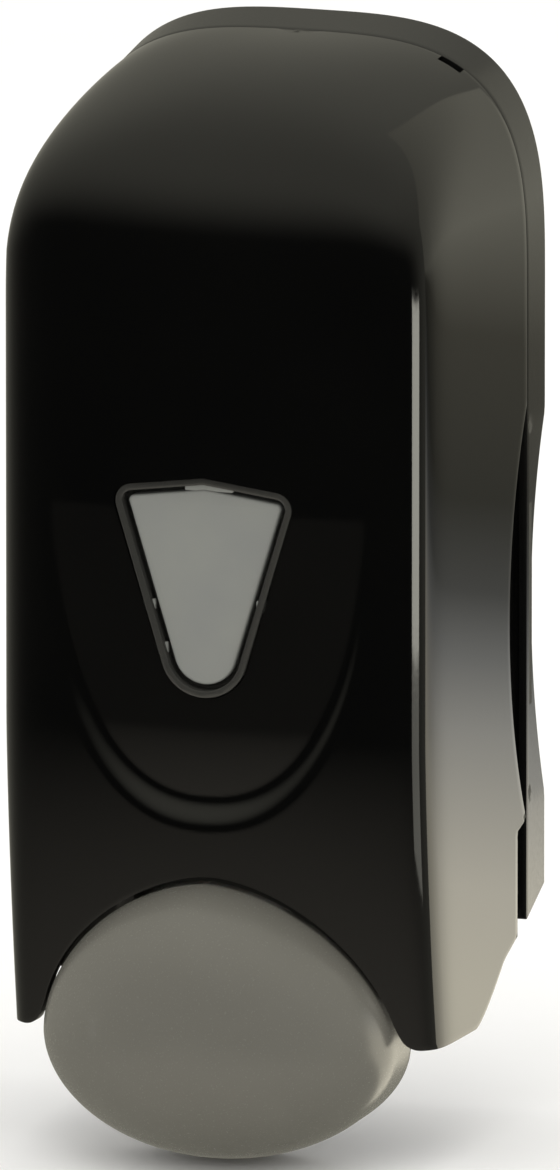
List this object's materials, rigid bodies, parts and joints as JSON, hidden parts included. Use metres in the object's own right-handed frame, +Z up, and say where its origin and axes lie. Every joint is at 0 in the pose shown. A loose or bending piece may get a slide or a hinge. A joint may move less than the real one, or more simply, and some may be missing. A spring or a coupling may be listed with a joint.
{
  "type": "wall mounted soap dispenser",
  "caption": "Wall mounted push-button foam soap dispenser: hinged cover with a level window over a refillable bottle and an inverted pump.",
  "frame": {"origin": "middle of the four wall screw holes, on the wall plane", "axes": "+Z up, +Y into the wall, so the front faces -Y, and +X to the right as seen from the front"},
  "size_m": [0.122, 0.1173, 0.284],
  "materials": {
    "gloss_black_abs": "gloss",
    "black_abs": "semi-gloss",
    "grey_abs": "satin",
    "smoked_clear": "gloss",
    "milky_polyethylene": "satin",
    "white_polypropylene": "satin",
    "white_acetal": "satin",
    "stainless_steel": "satin",
    "seal_rubber": "matte",
    "foam_tape": "matte",
    "nylon_mesh": "woven"
  },
  "bodies": {
    "housing": {"back_plate": "black_abs", "wall_pads": "foam_tape", "pump_shelf": "white_polypropylene", "shelf_screws": "stainless_steel", "bottle": "milky_polyethylene", "filler_neck": "white_polypropylene", "cap_seal": "seal_rubber", "pump_nut": "white_polypropylene", "pump_gasket": "seal_rubber", "pump_cylinder": "white_polypropylene", "inlet_ball": "stainless_steel", "pump_spring": "stainless_steel"},
    "cover": {"cover": "gloss_black_abs", "window_lens": "smoked_clear", "lens_retainer": "black_abs", "retainer_screws": "stainless_steel", "button_pin": "stainless_steel", "button_spring": "stainless_steel"},
    "button": {"push_button": "grey_abs", "lift_fork": "white_acetal", "fork_screws": "stainless_steel"},
    "pump": {"pump_piston": "white_acetal", "piston_seal": "seal_rubber", "pump_stem": "white_polypropylene", "foam_mesh": "nylon_mesh", "nozzle_tip": "white_polypropylene"},
    "cap": {"filler_cap": "white_polypropylene"},
    "bolt": {"lock_bolt": "white_acetal"}
  },
  "joints": [
    {"name": "cover_hinge", "type": "hinge", "parent": "housing", "child": "cover", "pos_m": [0, -0.027, -0.107], "axis": [1, 0, 0], "range_deg": [0, 48]},
    {"name": "button_press", "type": "hinge", "parent": "cover", "child": "button", "pos_m": [0, -0.078, -0.081], "axis": [1, 0, 0], "range_deg": [0, 15], "stiffness_Nm_per_rad": 0.4, "springref_deg": -11.46},
    {"name": "pump_stroke", "type": "slide", "parent": "housing", "child": "pump", "axis": [0, 0, 1], "range_m": [0, 0.0078], "deforming": ["pump_spring"]},
    {"name": "cap_turn", "type": "hinge", "parent": "housing", "child": "cap", "pos_m": [0, -0.046, 0.086], "axis": [0, 0, 1], "range_deg": [0, 360]},
    {"name": "lock_slide", "type": "slide", "parent": "housing", "child": "bolt", "axis": [-1, 0, 0], "range_m": [0, 0.0075]}
  ],
  "couplings": [
    {"joint": "pump_stroke", "follows": "button_press", "m_per_rad": 0.02979}
  ]
}
